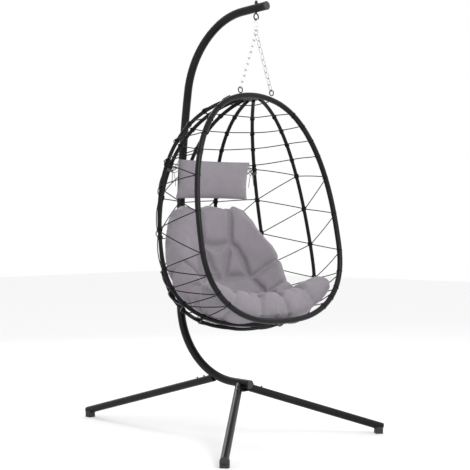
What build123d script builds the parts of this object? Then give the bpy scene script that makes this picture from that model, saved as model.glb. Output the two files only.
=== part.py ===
"""Hanging egg chair: a woven basket seat on two chains, hung from a C-shaped tubular stand.

Units are millimetres.  +Z is up, the sitter faces -Y, and the origin is on the floor, midway
between the front feet and the rear foot.  The basket hangs below the hook line, a little
reclined, and it is turned a few degrees on its hook.
"""
import os
from math import cos, hypot, radians, sin

from build123d import *

os.makedirs("parts", exist_ok=True)

# ---------------------------------------------------------------- driving dimensions
# C-shaped post: one bent tube, in two lengths joined by an inner sleeve
POST_R = 19.0
POST_WALL = 2.0
POST_BACK_Y = 64.0          # centre line of the post's upright stretch
LOWER_BEND_Z = 606.0        # the lower bend starts here, going down
LOWER_BEND_R = 346.6
LOWER_BEND_TURN = 87.7
LOWER_RUN = 101.0           # nearly level run over the legs
UPPER_BEND_Z = 948.0        # the upper bends start here, going up: (radius, turn)
UPPER_BENDS = ((4605.0, 8.3), (408.0, 50.4), (342.0, 26.5))
UPPER_RUN = 139.0
SPLIT_Z = 870.0
SLEEVE_LENGTH = 210.0

# Legs
LEG_R = 17.8
LEG_WALL = 1.8
FRONT_FOOT = (547.0, -698.0)
REAR_FOOT_Y = 700.0
FOOT_AXIS_Z = 36.0          # leg centre line over the foot pad
FRONT_MEET = (-305.0, 250.0)  # y, z where the two front legs' centre lines meet the post
REAR_MEET = (-150.0, 269.0)
STUB_LENGTH = 130.0
PAD_SIZE = (34.0, 40.0)

# Hanger
HANG_Y = -405.0
BASKET_TURN = -5.0
EYE_Z = 1919.0
EYE_RING_R = 14.0
EYE_WIRE_R = 3.0
SHANK_R = 4.0
BUSH_R = 6.0
RUNNING_GAP = 0.05
SNAP_WIRE_R = 2.5
SNAP_LENGTH = 56.0          # between the wire centres of its two ends
SNAP_BEND_R = 8.0
RING_R = 12.5
RING_WIRE_R = 2.5
CHAIN_WIRE_R = 2.0
CHAIN_LINKS = 9
CHAIN_BEND_R = 8.0
HANG_GAP = 0.3              # play between two linked wires

# Basket frame
HOOP_R = 12.5
HOOP_WALL = 2.5
HOOP_BOTTOM_Z = 555.4
HOOP_TOP_Z = 1565.6
HOOP_BOTTOM_Y = -175.0      # from the hook line, at the hoop's lowest point
HOOP_LEAN = 0.1863          # the hoop leans back this much per unit of height
HOOP_HALF_WIDTH = 436.0
HOOP_SHAPE = (0.347, 2.41, 2.35)   # height of the widest point, lower power, upper power
RIB_R = 8.5
RIB_WALL = 1.0
RIB_COUNT = 6
RIB_DEPTH = 498.0
RIB_SHAPE = (0.415, 2.65, 2.28)
RIB_WIDTH_RATIO = 1.21      # the ribs bulge wider than the hoop
RIB_DROP = 0.314            # a level of the basket falls towards the back by this slope
EYELET_X = 99.3
EYELET_Z = 1583.0
EYELET_R = 12.5
EYELET_WIRE_R = 2.5
GATHER_THICK = 3.0          # half-moon plates that gather the rib ends
GATHER_LAP = 6.0            # they reach this far past the rib ends
GATHER_SHIFT = 0.7          # gap to the hoop

# Woven strands.  Each row is one round of strand, and gives the height, as a fraction of the
# hoop's, at which it passes the hoop's right side, the six ribs, and the hoop's left side.
STRAND_R = 2.25
STRAND_BOW = 0.03
STRAND_GAP = 0.3            # a strand's clearance over the tube it passes
STRAND_PITCH = 6.0          # between two strand ends side by side
LEAVE_ANGLE = 32            # a strand ends this far round a tube, towards its next rib
COURSES = (
    (0.983, 0.987, 0.988, 0.99, 0.99, 0.988, 0.985, 0.98),
    (0.924, 0.951, 0.961, 0.97, 0.97, 0.961, 0.95, 0.93),
    (0.872, 0.899, 0.915, 0.925, 0.925, 0.915, 0.9, 0.876),
    (0.808, 0.845, 0.859, 0.868, 0.868, 0.858, 0.835, 0.811),
    (0.738, 0.781, 0.795, 0.803, 0.803, 0.79, 0.755, 0.739),
)
NET = (
    (0.64, 0.71, 0.78, 0.788, 0.788, 0.775, 0.74, 0.724),
    (0.472, 0.559, 0.648, 0.665, 0.66, 0.65, 0.642, 0.631),
    (0.304, 0.393, 0.495, 0.51, 0.5, 0.48, 0.464, 0.48),
    (0.206, 0.233, 0.34, 0.36, 0.35, 0.32, 0.297, 0.306),
    (0.135, 0.16, 0.22, 0.25, 0.24, 0.22, 0.212, 0.213),
    (0.087, 0.1, 0.14, 0.16, 0.155, 0.145, 0.139, 0.136),
    (0.05, 0.055, 0.08, 0.09, 0.085, 0.08, 0.073, 0.087),
)

# Cushions: levels of the nest, and (height, half-width, depth behind the hoop) of its hollow
CUSHION_GAP = 15.0          # from the ribs' centre lines to the cushion's back
CUSHION_LIFT = 11.0         # and up from their lowest stretch
CUSHION_RIM_GAP = 18.0      # from the hoop's centre line to the cushion's front
CUSHION_LEVELS = (0.02, 0.04, 0.07, 0.11, 0.17, 0.26, 0.36, 0.48, 0.6, 0.72)
CUSHION_HOLLOW = ((760, 400, 318), (885, 425, 352), (1130, 440, 388))
SEAT_FRONT = (640, 40)      # height, and depth behind the hoop, of the seat's front end
SEAT_BACK = (728, 300)
CUSHION_TOP_Z = 1082.0
CUSHION_SKIN = 7.0
CUSHION_SIDE = 352.0
CUSHION_SIDE_Z = 700.0      # lower down the cushion spreads to the basket's sides
CUSHION_SHOULDER = 215.0
PILLOW_SIZE = (450.0, 76.0, 176.0)
PILLOW_Z = 1190.0
PILLOW_DEPTH = 338.0        # behind the hoop
PILLOW_LEAN = 6.0           # its top leans forward
TIE_AT = 0.765              # of the hoop's height, on the second rib from each side
TIE_R = 2.0

# ---------------------------------------------------------------- shared frames and curves
hung = Plane(
    origin=(0, HANG_Y, 0),
    x_dir=(cos(radians(BASKET_TURN)), sin(radians(BASKET_TURN)), 0),
    z_dir=(0, 0, 1),
)
HOOP_HEIGHT = HOOP_TOP_Z - HOOP_BOTTOM_Z
SLOPE = hypot(1, RIB_DROP)
BACKWARD = Vector(0, 1 / SLOPE, -RIB_DROP / SLOPE)
CORE = 0.42                 # the basket's middle, as a fraction of its height


def in_hall(point):
    """A point given from the hook line, in the model's own frame."""
    return hung.from_local_coords(Vector(point))


def egg_reach(s, reach, shape):
    """Half-width of an egg outline at fraction s of its height."""
    widest, low_power, high_power = shape
    if s < widest:
        return reach * (1 - (1 - s / widest) ** low_power) ** (1 / low_power)
    return reach * (1 - ((s - widest) / (1 - widest)) ** high_power) ** (1 / high_power)


def chord(s):
    """A point on the straight line from the hoop's lowest point to its highest."""
    rise = HOOP_HEIGHT * s
    return Vector(0, HOOP_BOTTOM_Y + HOOP_LEAN * rise, HOOP_BOTTOM_Z + rise)


def egg_point(angle, s, inset=0.0):
    """A point of the basket: angle from straight back, 90 and -90 being the hoop's two sides."""
    half = egg_reach(s, HOOP_HALF_WIDTH, HOOP_SHAPE)
    if abs(angle) == 90:
        return chord(s) + Vector(half * angle / 90, 0, 0)
    side = (RIB_WIDTH_RATIO * half - inset) * sin(radians(angle))
    back = (egg_reach(s, RIB_DEPTH, RIB_SHAPE) - inset) * cos(radians(angle))
    return chord(s) + Vector(side, 0, 0) + BACKWARD * back


def spread(turn):
    """Fraction of the height, crowded towards both ends: turn 0 is the bottom, 180 the top."""
    return (1 - cos(radians(turn))) / 2


def tangent_arcs(points, tangents):
    """Joins points by pairs of tangent arcs, inside a BuildLine."""
    for start, end, leave, arrive in zip(points, points[1:], tangents, tangents[1:]):
        step = end - start
        square = 2 * (1 - leave.dot(arrive))
        linear = step.dot(leave + arrive)
        reach = ((linear**2 + square * step.dot(step)) ** 0.5 - linear) / square
        middle = (start + end + (leave - arrive) * reach) / 2
        first = TangentArc(start, middle, tangent=leave)
        TangentArc(middle, end, tangent=first % 1)


def egg_line(angle, turns):
    """Points and tangents along one rib or one side of the hoop, bottom to top."""
    nudge = 0.4
    points = [in_hall(egg_point(angle, spread(t))) for t in turns]
    tangents = []
    for t in turns:
        low, high = max(t - nudge, 0), min(t + nudge, 180)
        ahead = in_hall(egg_point(angle, spread(high))) - in_hall(egg_point(angle, spread(low)))
        tangents.append(ahead.normalized())
    return points, tangents


def link_line(top, bottom, bend_r, across):
    """A long link's centre line: two straights and two half turns, inside a BuildLine."""
    down = (bottom - top).normalized()
    first, last = top + down * bend_r, bottom - down * bend_r
    Line(first + across * bend_r, last + across * bend_r)
    ThreePointArc(last + across * bend_r, bottom, last - across * bend_r)
    Line(last - across * bend_r, first - across * bend_r)
    ThreePointArc(first - across * bend_r, top, first + across * bend_r)


def save(piece, name):
    piece.label = name
    export_step(piece, f"parts/{name}.step")


# ---------------------------------------------------------------- C-shaped post
with BuildPart() as post_lower:
    with BuildLine(Plane.YZ) as lower_line:
        upright = Line((POST_BACK_Y, SPLIT_Z), (POST_BACK_Y, LOWER_BEND_Z))
        low_bend = JernArc(upright @ 1, upright % 1, LOWER_BEND_R, -LOWER_BEND_TURN)
        Line(low_bend @ 1, low_bend @ 1 + low_bend % 1 * LOWER_RUN)
    with BuildSketch(Plane(origin=lower_line.line @ 0, z_dir=lower_line.line % 0)):
        Circle(POST_R)
        Circle(POST_R - POST_WALL, mode=Mode.SUBTRACT)
    sweep(path=lower_line.line)
lower_end = Vector(*(lower_line.line @ 1))
lower_way = lower_line.line % 1

with BuildPart() as post_upper:
    with BuildLine(Plane.YZ) as upper_line:
        reach_up = Line((POST_BACK_Y, SPLIT_Z), (POST_BACK_Y, UPPER_BEND_Z))
        for bend_radius, bend_turn in UPPER_BENDS:
            reach_up = JernArc(reach_up @ 1, reach_up % 1, bend_radius, bend_turn)
        top_run = Line(reach_up @ 1, reach_up @ 1 + reach_up % 1 * UPPER_RUN)
    with BuildSketch(Plane(origin=upper_line.line @ 0, z_dir=upper_line.line % 0)):
        Circle(POST_R)
        Circle(POST_R - POST_WALL, mode=Mode.SUBTRACT)
    sweep(path=upper_line.line)
upper_end = Vector(*(upper_line.line @ 1))
upper_way = upper_line.line % 1
HANG_AXIS_Z = upper_end.Z - (HANG_Y - upper_end.Y) * upper_way.Z / abs(upper_way.Y)
POST_UNDER_Z = HANG_AXIS_Z - POST_R
POST_OVER_Z = HANG_AXIS_Z + POST_R

JOINT_BOLT_R = 4.0
JOINT_BOLT_Z = (SPLIT_Z - 70, SPLIT_Z + 70)
BOLT_HEAD_R = 6.8
BOLT_HEAD_H = 5.0
with BuildPart() as joint_holes:
    for bolt_z in JOINT_BOLT_Z:
        with BuildSketch(Plane.XZ.offset(-POST_BACK_Y - 40)):
            with Locations((0, bolt_z)):
                Circle(JOINT_BOLT_R + 0.2)
        extrude(amount=80)
with BuildPart() as bush_hole:
    with BuildSketch(Plane.XY.offset(POST_UNDER_Z - 10)):
        with Locations((0, HANG_Y)):
            Circle(BUSH_R)
    extrude(amount=2 * POST_R + 20)

with BuildPart() as post_sleeve:
    with BuildSketch(Plane.XY.offset(SPLIT_Z - SLEEVE_LENGTH / 2)):
        with Locations((0, POST_BACK_Y)):
            Circle(POST_R - POST_WALL - 0.2)
            Circle(POST_R - POST_WALL - 2.2, mode=Mode.SUBTRACT)
    extrude(amount=SLEEVE_LENGTH)
    add(joint_holes.part, mode=Mode.SUBTRACT)

with BuildPart() as post_bolts:
    for bolt_z in JOINT_BOLT_Z:
        with BuildSketch(Plane.XZ.offset(-POST_BACK_Y - POST_R - 8)):
            with Locations((0, bolt_z)):
                Circle(JOINT_BOLT_R)
        extrude(amount=2 * POST_R + 16)
        with BuildSketch(Plane.XZ.offset(-POST_BACK_Y - POST_R - 0.5)):
            with Locations((0, bolt_z)):
                RegularPolygon(BOLT_HEAD_R, 6)
        extrude(amount=-BOLT_HEAD_H)
        with BuildSketch(Plane.XZ.offset(-POST_BACK_Y + POST_R + 0.5)):
            with Locations((0, bolt_z)):
                RegularPolygon(BOLT_HEAD_R, 6)
        extrude(amount=BOLT_HEAD_H)

CAP_LIP = 0.6
CAP_THICK = 7.0
PLUG_DEPTH = 18.0
with BuildPart() as post_top_cap:
    with BuildSketch(Plane(origin=upper_end, z_dir=upper_way)):
        Circle(POST_R + CAP_LIP)
    extrude(amount=CAP_THICK)
    fillet(post_top_cap.edges().sort_by(Axis(upper_end, upper_way))[-1], 2.5)
    with BuildSketch(Plane(origin=upper_end, z_dir=upper_way * -1)):
        Circle(POST_R - POST_WALL)
    extrude(amount=PLUG_DEPTH)

with BuildPart() as post_lower_cap:
    with BuildSketch(Plane(origin=lower_end, z_dir=lower_way)):
        Circle(POST_R)
    extrude(amount=4)
    fillet(post_lower_cap.edges().sort_by(Axis(lower_end, lower_way))[-1], 1.5)
    with BuildSketch(Plane(origin=lower_end, z_dir=lower_way * -1)):
        Circle(POST_R - POST_WALL)
    extrude(amount=PLUG_DEPTH)

# The post's outside, a little fat, cuts the legs' inner ends to its shape.
with BuildPart() as post_shape:
    with BuildSketch(Plane(origin=lower_line.line @ 0, z_dir=lower_line.line % 0)):
        Circle(POST_R + 0.3)
    sweep(path=lower_line.line)
    with BuildSketch(Plane(origin=lower_end, z_dir=lower_way)):
        Circle(POST_R + 0.3)
    extrude(amount=4.3)

# ---------------------------------------------------------------- legs, stubs, feet
LEG_ENDS = {
    "left": (Vector(0, *FRONT_MEET), Vector(-FRONT_FOOT[0], FRONT_FOOT[1], FOOT_AXIS_Z)),
    "right": (Vector(0, *FRONT_MEET), Vector(FRONT_FOOT[0], FRONT_FOOT[1], FOOT_AXIS_Z)),
    "rear": (Vector(0, *REAR_MEET), Vector(0, REAR_FOOT_Y, FOOT_AXIS_Z)),
}
LEG_GAP = 0.6               # keeps the two front legs apart at the middle plane
SCREW_R = 3.0
SCREW_HEAD_R = 5.5
SCREW_AT = (62.0, 104.0)    # along the leg, from where its centre line meets the post
TOE = 17.0                  # the leg runs on past its pad


def round_bar(start, way, length, outer, inner=0.0):
    """A straight bar or tube from a point along a direction."""
    with BuildPart(mode=Mode.PRIVATE) as bar:
        with BuildSketch(Plane(origin=start, z_dir=way)):
            Circle(outer)
            if inner:
                Circle(inner, mode=Mode.SUBTRACT)
        extrude(amount=length)
    return bar.part


def side_slab(side):
    """The half of space that a front leg may not enter, as a box on the other side."""
    with BuildPart() as slab:
        with Locations((-side * (100 - LEG_GAP), FRONT_MEET[0], FRONT_MEET[1])):
            Box(200, 400, 300)
    return slab.part


legs, stubs, pads, plugs, screw_sets = {}, {}, {}, {}, {}
for place, (meet, foot) in LEG_ENDS.items():
    way = (foot - meet).normalized()
    length = (foot - meet).length + TOE
    level = Vector(way.X, way.Y, 0).normalized()
    across = Vector(0, 0, 1).cross(level)
    top_of_leg = across.cross(way) * -1

    with BuildPart() as screws:
        for distance in SCREW_AT:
            head_at = meet + way * distance + top_of_leg * (LEG_R + 2.2)
            add(round_bar(head_at, top_of_leg * -1, 14, SCREW_R))
            add(round_bar(head_at, top_of_leg, 2.6, SCREW_HEAD_R))
    with BuildPart() as screw_holes:
        for distance in SCREW_AT:
            above = meet + way * distance + top_of_leg * (LEG_R + 6)
            add(round_bar(above, top_of_leg * -1, 24, SCREW_R + 0.2))

    with BuildPart() as leg:
        add(round_bar(meet, way, length, LEG_R, LEG_R - LEG_WALL))
        add(post_shape.part, mode=Mode.SUBTRACT)
        add(screw_holes.part, mode=Mode.SUBTRACT)
        if place != "rear":
            add(side_slab(1 if place == "right" else -1), mode=Mode.SUBTRACT)
    with BuildPart() as stub:
        add(round_bar(meet, way, STUB_LENGTH, LEG_R - LEG_WALL - 0.4, LEG_R - LEG_WALL - 2.6))
        add(post_shape.part, mode=Mode.SUBTRACT)
        add(screw_holes.part, mode=Mode.SUBTRACT)
        if place != "rear":
            add(side_slab(1 if place == "right" else -1), mode=Mode.SUBTRACT)

    with BuildPart() as plug:
        add(round_bar(meet + way * length, way, 3.5, LEG_R))
        fillet(plug.edges().sort_by(Axis(meet, way))[-1], 1.5)
        add(round_bar(meet + way * length, way * -1, 20, LEG_R - LEG_WALL))

    pad_plane = Plane(origin=Vector(foot.X, foot.Y, 0), x_dir=level, z_dir=(0, 0, 1))
    with BuildPart() as pad:
        with BuildSketch(pad_plane):
            RectangleRounded(PAD_SIZE[0], PAD_SIZE[1], 5)
        extrude(amount=FOOT_AXIS_Z - 4)
        chamfer(pad.faces().sort_by(Axis.Z)[0].edges(), 1.2)
        add(round_bar(meet, way, length + 40, LEG_R + 0.1), mode=Mode.SUBTRACT)

    legs[place] = leg.part.solids().sort_by(SortBy.VOLUME)[-1]
    stubs[place] = stub.part.solids().sort_by(SortBy.VOLUME)[-1]
    pads[place] = pad.part
    plugs[place] = plug.part
    screw_sets[place] = screws.part

# Folded bracket under the post's end, which ties the two front legs together
LUG = (34.0, 24.0, 3.0)
LUG_Z = 221.0
LUG_Y = -331.0
with BuildPart() as leg_lug:
    with BuildSketch(Plane.XZ.offset(-LUG_Y - LUG[1] / 2)):
        with BuildLine():
            Polyline((-LUG[0] / 2, 236), (-LUG[0] / 2, LUG_Z), (LUG[0] / 2, LUG_Z), (LUG[0] / 2, 236))
            offset(amount=-LUG[2], side=Side.LEFT)
        make_face()
    extrude(amount=LUG[1])
    add(post_shape.part, mode=Mode.SUBTRACT)
    for place, (meet, foot) in LEG_ENDS.items():
        add(round_bar(meet, (foot - meet).normalized(), 200, LEG_R + 0.3), mode=Mode.SUBTRACT)

# ---------------------------------------------------------------- eye bolt in its bush
NUT_BASE_Z = POST_OVER_Z + 3.2
with BuildPart() as hook_bush:
    with BuildSketch(Plane.XY.offset(POST_UNDER_Z - 1.5)):
        with Locations((0, HANG_Y)):
            Circle(BUSH_R)
            Circle(SHANK_R + RUNNING_GAP, mode=Mode.SUBTRACT)
    extrude(amount=NUT_BASE_Z - 0.1 - POST_UNDER_Z + 1.5)

with BuildPart() as eye_bolt:
    with BuildSketch(Plane(origin=in_hall((EYE_RING_R, 0, EYE_Z)), z_dir=(0, 0, 1))):
        Circle(EYE_WIRE_R)
    revolve(axis=Axis(in_hall((0, 0, EYE_Z)), in_hall((0, 1, 0)) - in_hall((0, 0, 0))))
    neck_z = EYE_Z + EYE_RING_R
    with BuildSketch(Plane.XY.offset(neck_z)):
        with Locations((0, HANG_Y)):
            Circle(SHANK_R)
    extrude(amount=NUT_BASE_Z + 6 - neck_z)

with BuildPart() as eye_bolt_nut:
    with BuildSketch(Plane.XY.offset(NUT_BASE_Z)):
        with Locations((0, HANG_Y)):
            Circle(9)
            Circle(SHANK_R, mode=Mode.SUBTRACT)
    extrude(amount=1.6)
    with BuildSketch(Plane.XY.offset(NUT_BASE_Z + 1.6)):
        with Locations((0, HANG_Y)):
            RegularPolygon(7.5, 6)
    extrude(amount=6.5)
    with BuildSketch(Plane.XY.offset(NUT_BASE_Z + 8.1)):
        with Locations((0, HANG_Y)):
            Circle(5.8)
    extrude(amount=4.5, taper=28)
    with BuildSketch(Plane.XY.offset(NUT_BASE_Z)):
        with Locations((0, HANG_Y)):
            Circle(SHANK_R)
    extrude(amount=6, mode=Mode.SUBTRACT)

# ---------------------------------------------------------------- snap hook with its gate
fore = in_hall((0, -1, 0)) - in_hall((0, 0, 0))
lateral = in_hall((1, 0, 0)) - in_hall((0, 0, 0))
SNAP_TOP_Z = EYE_Z - EYE_RING_R + EYE_WIRE_R + SNAP_WIRE_R + HANG_GAP
SNAP_BOTTOM_Z = SNAP_TOP_Z - SNAP_LENGTH
GATE_TOP_Z = SNAP_TOP_Z - 14
GATE_PIN_Z = SNAP_BOTTOM_Z + 16
GATE_PIN_R = 0.8
TONGUE = 1.8                # thickness of the hinge tongue in the gate's fork


def hung_at(x, y, z):
    return in_hall((x, y, z))


with BuildPart() as snap_hook:
    with BuildLine() as snap_line:
        front_low = hung_at(0, -SNAP_BEND_R, GATE_PIN_Z - 4)
        low = hung_at(0, -SNAP_BEND_R, SNAP_BOTTOM_Z + SNAP_BEND_R)
        low_back = hung_at(0, SNAP_BEND_R, SNAP_BOTTOM_Z + SNAP_BEND_R)
        high_back = hung_at(0, SNAP_BEND_R, SNAP_TOP_Z - SNAP_BEND_R)
        high = hung_at(0, -SNAP_BEND_R, SNAP_TOP_Z - SNAP_BEND_R)
        Line(front_low, low)
        ThreePointArc(low, hung_at(0, 0, SNAP_BOTTOM_Z), low_back)
        Line(low_back, high_back)
        ThreePointArc(high_back, hung_at(0, 0, SNAP_TOP_Z), high)
        Line(high, hung_at(0, -SNAP_BEND_R, GATE_TOP_Z + 0.6))
    with BuildSketch(Plane(origin=snap_line.line @ 0, z_dir=snap_line.line % 0)):
        Circle(SNAP_WIRE_R)
    sweep(path=snap_line.line)
    with BuildSketch(Plane(origin=front_low, x_dir=lateral, z_dir=(0, 0, 1))):
        Rectangle(TONGUE, 3.6)
    extrude(amount=5.8)
    with BuildSketch(Plane(origin=hung_at(-4, -SNAP_BEND_R, GATE_PIN_Z), z_dir=lateral)):
        Circle(GATE_PIN_R)
    extrude(amount=8, mode=Mode.SUBTRACT)

with BuildPart() as snap_gate:
    with BuildSketch(Plane(origin=hung_at(0, -SNAP_BEND_R, GATE_PIN_Z - 2.6), z_dir=(0, 0, 1))):
        Circle(SNAP_WIRE_R)
    extrude(amount=GATE_TOP_Z - GATE_PIN_Z + 2.6)
    fork = Plane(origin=hung_at(0, -SNAP_BEND_R, GATE_PIN_Z - 3), x_dir=lateral, z_dir=(0, 0, 1))
    with BuildSketch(fork):
        Rectangle(TONGUE + 0.4, 8)
    extrude(amount=6.6, mode=Mode.SUBTRACT)
    with BuildSketch(Plane(origin=hung_at(-4, -SNAP_BEND_R, GATE_PIN_Z), z_dir=lateral)):
        Circle(GATE_PIN_R + RUNNING_GAP)
    extrude(amount=8, mode=Mode.SUBTRACT)

with BuildPart() as snap_gate_pin:
    with BuildSketch(Plane(origin=hung_at(-2.6, -SNAP_BEND_R, GATE_PIN_Z), z_dir=lateral)):
        Circle(GATE_PIN_R)
    extrude(amount=5.2)

# ---------------------------------------------------------------- collector ring and chains
RING_TOP_Z = SNAP_BOTTOM_Z + SNAP_WIRE_R + RING_WIRE_R + HANG_GAP
RING_Z = RING_TOP_Z - RING_R
with BuildPart() as chain_ring:
    with BuildSketch(Plane(origin=in_hall((RING_R, 0, RING_Z)), z_dir=(0, 0, 1))):
        Circle(RING_WIRE_R)
    revolve(axis=Axis(in_hall((0, 0, RING_Z)), fore))

chains = {}
for side_name, side in (("left", -1), ("right", 1)):
    ring_centre = in_hall((0, 0, RING_Z))
    eyelet_centre = in_hall((side * EYELET_X, 0, EYELET_Z))
    down = (eyelet_centre - ring_centre).normalized()
    sideways = fore.cross(down).normalized()
    bite = RING_WIRE_R + CHAIN_WIRE_R + HANG_GAP
    first_top = ring_centre + down * (RING_R - bite)
    last_bottom = eyelet_centre - down * (EYELET_R - bite)
    overlap = 2 * CHAIN_WIRE_R + HANG_GAP
    run = (last_bottom - first_top).length
    link_length = (run + (CHAIN_LINKS - 1) * overlap) / CHAIN_LINKS
    with BuildPart() as chain:
        for number in range(CHAIN_LINKS):
            link_top = first_top + down * (number * (link_length - overlap))
            link_bottom = link_top + down * link_length
            flat = fore if number % 2 == 0 else sideways
            with BuildLine() as link:
                link_line(link_top, link_bottom, CHAIN_BEND_R, flat)
            with BuildSketch(Plane(origin=link.line @ 0, z_dir=link.line % 0)):
                Circle(CHAIN_WIRE_R)
            sweep(path=link.line)
    chains[side_name] = chain.part

# ---------------------------------------------------------------- basket frame
HOOP_TURNS = (0, 22, 44, 62, 80, 100, 122, 145, 180)
RIB_TURNS = (3, 11, 24, 44, 66, 90, 114, 138, 156, 168, 174.5)
RIB_ANGLES = [90 - 180 * (k + 1) / (RIB_COUNT + 1) for k in range(RIB_COUNT)]

with BuildPart() as front_hoop:
    with BuildLine() as hoop_line:
        right_points, right_tangents = egg_line(90, HOOP_TURNS)
        right_tangents[0], right_tangents[-1] = lateral, lateral * -1
        tangent_arcs(right_points, right_tangents)
        left_points, left_tangents = egg_line(-90, HOOP_TURNS)
        left_tangents = [way * -1 for way in left_tangents]
        left_tangents[0], left_tangents[-1] = lateral, lateral * -1
        tangent_arcs(left_points[::-1], left_tangents[::-1])
    with BuildSketch(Plane(origin=hoop_line.line @ 0, z_dir=hoop_line.line % 0)):
        Circle(HOOP_R)
        Circle(HOOP_R - HOOP_WALL, mode=Mode.SUBTRACT)
    sweep(path=hoop_line.line)
    with BuildSketch(Plane(origin=in_hall(chord(0)) - Vector(0, 0, HOOP_R + 5), z_dir=(0, 0, 1))):
        Circle(2.5)
    extrude(amount=10, mode=Mode.SUBTRACT)

hoop_front = in_hall(Vector(0, -1, HOOP_LEAN)) - in_hall((0, 0, 0))


def level_plane(s):
    """A level of the basket, which falls a little towards the back."""
    up = in_hall(Vector(0, RIB_DROP, 1)) - in_hall((0, 0, 0))
    return Plane(origin=in_hall(chord(s)), x_dir=lateral, z_dir=up)


def rib_end(angle, turn):
    """Where a rib's centre line ends, and its direction away from the end."""
    inner = in_hall(egg_point(angle, spread(turn)))
    further = turn + (1 if turn < 90 else -1)
    return inner, (in_hall(egg_point(angle, spread(further))) - inner).normalized()


# Half-moon plates behind the hoop's top and bottom gather the rib ends in notches.
gather_plates = {}
for plate_name, turn in (("top", RIB_TURNS[-1]), ("bottom", RIB_TURNS[0])):
    s = spread(turn)
    side_reach = RIB_WIDTH_RATIO * egg_reach(s, HOOP_HALF_WIDTH, HOOP_SHAPE) + GATHER_LAP
    back_reach = egg_reach(s, RIB_DEPTH, RIB_SHAPE) + GATHER_LAP
    with BuildPart() as gather_plate:
        with BuildSketch(level_plane(s).offset(-GATHER_THICK / 2)):
            Ellipse(side_reach, back_reach)
            with Locations((0, HOOP_R + GATHER_SHIFT - 200)):
                Rectangle(400, 400, mode=Mode.SUBTRACT)
        extrude(amount=GATHER_THICK)
        for angle in RIB_ANGLES:
            inner, away = rib_end(angle, turn)
            add(round_bar(inner - away * 0.3, away, 40, RIB_R + 0.2), mode=Mode.SUBTRACT)
    gather_plates[plate_name] = gather_plate.part

ribs = []
for angle in RIB_ANGLES:
    with BuildPart() as rib:
        with BuildLine() as rib_line:
            tangent_arcs(*egg_line(angle, RIB_TURNS))
        with BuildSketch(Plane(origin=rib_line.line @ 0, z_dir=rib_line.line % 0)):
            Circle(RIB_R)
            Circle(RIB_R - RIB_WALL, mode=Mode.SUBTRACT)
        sweep(path=rib_line.line)
    ribs.append(rib.part)

eyelets = {}
for side_name, side in (("left", -1), ("right", 1)):
    with BuildPart() as eyelet:
        with BuildSketch(Plane(origin=in_hall((side * EYELET_X + EYELET_R, 0, EYELET_Z)), z_dir=(0, 0, 1))):
            Circle(EYELET_WIRE_R)
        revolve(axis=Axis(in_hall((side * EYELET_X, 0, EYELET_Z)), fore))
    eyelets[side_name] = eyelet.part

# ---------------------------------------------------------------- woven strands
MEMBERS = [90.0, *RIB_ANGLES, -90.0]


def crossing(member, s, shift):
    """Where strands pass a rib or the hoop: its centre, its direction, outwards, and their radius."""
    angle = MEMBERS[member]
    step = 0.002
    here = in_hall(egg_point(angle, s))
    along = in_hall(egg_point(angle, s + step)) - in_hall(egg_point(angle, s - step))
    along = along.normalized()
    out = here - in_hall(chord(CORE))
    out = (out - along * out.dot(along)).normalized()
    radius = (HOOP_R if abs(angle) == 90 else RIB_R) + STRAND_R + STRAND_GAP
    return here + along * shift, along, out, radius


def leave(cross, target):
    """Where a strand that ends on a rib or the hoop leaves it, on the way to a target."""
    centre, along, out, radius = cross
    side = target - centre
    side = side - along * side.dot(along) - out * side.dot(out)
    turn = radians(LEAVE_ANGLE)
    return centre + (out * cos(turn) + side.normalized() * sin(turn)) * radius


def span(cross, other):
    """A length of strand between two crossings, bowed away from the basket's middle."""
    start, end = leave(cross, other[0]), leave(other, cross[0])
    middle = (start + end) / 2
    out = (middle - in_hall(chord(CORE))).normalized()
    with BuildPart(mode=Mode.PRIVATE) as length:
        with BuildLine() as span_line:
            ThreePointArc(start, middle + out * (end - start).length * STRAND_BOW, end)
        with BuildSketch(Plane(origin=span_line.line @ 0, z_dir=span_line.line % 0)):
            Circle(STRAND_R)
        sweep(path=span_line.line)
    return length.part


# A course is one strand, from the hoop's one side over all the ribs to its other side.
course_parts = []
for heights in COURSES:
    crossings = [crossing(member, s, 0) for member, s in enumerate(heights)]
    points = [centre + out * radius for centre, _, out, radius in crossings]
    points[0] = leave(crossings[0], crossings[1][0])
    points[-1] = leave(crossings[-1], crossings[-2][0])
    ways = [points[1] - points[0], *[c - a for a, c in zip(points, points[2:])]]
    ways = [*ways, points[-1] - points[-2]]
    ways = [way - out * way.dot(out) for way, (_, _, out, _) in zip(ways, crossings)]
    with BuildPart() as course:
        with BuildLine() as course_line:
            tangent_arcs(points, [way.normalized() for way in ways])
        with BuildSketch(Plane(origin=course_line.line @ 0, z_dir=course_line.line % 0)):
            Circle(STRAND_R)
        sweep(path=course_line.line)
    course_parts.append(course.part)

# Between two neighbouring ribs the strands zigzag: level across, then down to the next round.
panel_parts = []
for member in range(RIB_COUNT + 1):
    with BuildPart() as panel:
        pieces = []
        for step, shift in ((0, STRAND_PITCH / 2), (1, -STRAND_PITCH / 2)):
            near = [crossing(member, heights[member], shift) for heights in NET]
            far = [crossing(member + 1, heights[member + 1], -shift) for heights in NET]
            if step:
                far = far[1:]
            pieces += [span(one, other) for one, other in zip(near, far)]
        add(pieces)
    panel_parts.append(panel.part)

# ---------------------------------------------------------------- cushions
def behind_hoop(x, z, depth):
    """A point at a height, and this far behind the hoop's plane."""
    return in_hall((x, HOOP_BOTTOM_Y + HOOP_LEAN * (z - HOOP_BOTTOM_Z) + depth, z))


hoop_plane = Plane(origin=in_hall(chord(0)), x_dir=lateral, z_dir=hoop_front)
RIM_LEVELS = (0.01, 0.04, 0.08, 0.14, 0.22, 0.35, 0.5, 0.7)


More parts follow.
